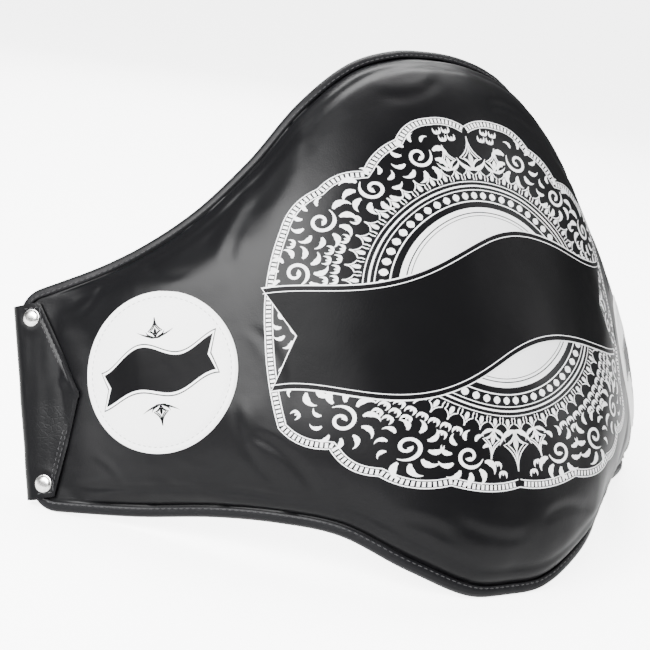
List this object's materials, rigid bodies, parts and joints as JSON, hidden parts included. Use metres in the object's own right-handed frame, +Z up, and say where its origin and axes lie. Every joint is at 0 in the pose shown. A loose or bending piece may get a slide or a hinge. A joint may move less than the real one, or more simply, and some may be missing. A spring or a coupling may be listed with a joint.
{
  "type": "belly pad",
  "caption": "Padded leather belly shield for striking practice, with two wings that wrap the waist, riveted tip wraps and an elastic back strap that closes with hook and loop.",
  "frame": {"origin": "centre of the part's box, on the floor that its lower lobe and both wing tips stand on", "axes": "+X to the wearer's left across the pad, -Y the padded striking face, +Z up; the pad leans back 28.7 degrees from upright, its top towards +Y"},
  "size_m": [0.5792, 0.3168, 0.3582],
  "materials": {
    "black_leather": "semi gloss",
    "binding_leather": "satin",
    "white_leather": "satin",
    "foam": "matt closed-cell foam",
    "lining": "matt",
    "elastic_webbing": "matt ribbed",
    "hook_and_loop": "matt pile",
    "nickel": "polished"
  },
  "bodies": {
    "pad_centre": {"front_cover_centre": "black_leather", "strike_pad_core": "foam", "base_foam_centre": "foam", "back_liner_centre": "lining", "binding_top_centre": "binding_leather", "binding_bottom_centre": "binding_leather"},
    "left_wing": {"left_wing_cover": "black_leather", "left_wing_core": "foam", "left_wing_base_foam": "foam", "left_wing_liner": "lining", "left_wing_binding": "binding_leather", "left_round_patch": "white_leather", "left_tip_wrap": "black_leather", "left_upper_rivet": "nickel", "left_upper_rivet_washer": "nickel", "left_lower_rivet": "nickel", "left_lower_rivet_washer": "nickel"},
    "right_wing": {"right_wing_cover": "black_leather", "right_wing_core": "foam", "right_wing_base_foam": "foam", "right_wing_liner": "lining", "right_wing_binding": "binding_leather", "right_round_patch": "white_leather", "right_tip_wrap": "black_leather", "right_upper_rivet": "nickel", "right_upper_rivet_washer": "nickel", "right_lower_rivet": "nickel", "right_lower_rivet_washer": "nickel"},
    "strap": {"strap_root": "black_leather", "elastic_strap": "elastic_webbing"},
    "tab": {"closing_tab": "black_leather", "tab_hook_tape": "hook_and_loop"},
    "tongue": {"closing_tongue": "black_leather", "tongue_loop_tape": "hook_and_loop"}
  },
  "joints": [
    {"name": "left_wing_flex", "type": "hinge", "parent": "pad_centre", "child": "left_wing", "pos_m": [-0.12766, -0.00221, 0.15694], "axis": [0, -0.4801, -0.8772], "range_deg": [0, 40], "stiffness_Nm_per_rad": 5},
    {"name": "right_wing_flex", "type": "hinge", "parent": "pad_centre", "child": "right_wing", "pos_m": [0.12766, -0.00221, 0.15694], "axis": [0, 0.4801, 0.8772], "range_deg": [0, 40], "stiffness_Nm_per_rad": 5},
    {"name": "strap_swing", "type": "hinge", "parent": "left_wing", "child": "strap", "pos_m": [-0.27475, 0.11022, 0.0954], "axis": [0, 0.4801, 0.8772], "range_deg": [0, 120]},
    {"name": "tab_fold", "type": "hinge", "parent": "strap", "child": "tab", "pos_m": [-0.06281, 0.13905, 0.07962], "axis": [0, -0.4801, -0.8772], "range_deg": [0, 90]},
    {"name": "tongue_swing", "type": "hinge", "parent": "right_wing", "child": "tongue", "pos_m": [0.27475, 0.11022, 0.0954], "axis": [0, -0.4801, -0.8772], "range_deg": [0, 98]}
  ]
}
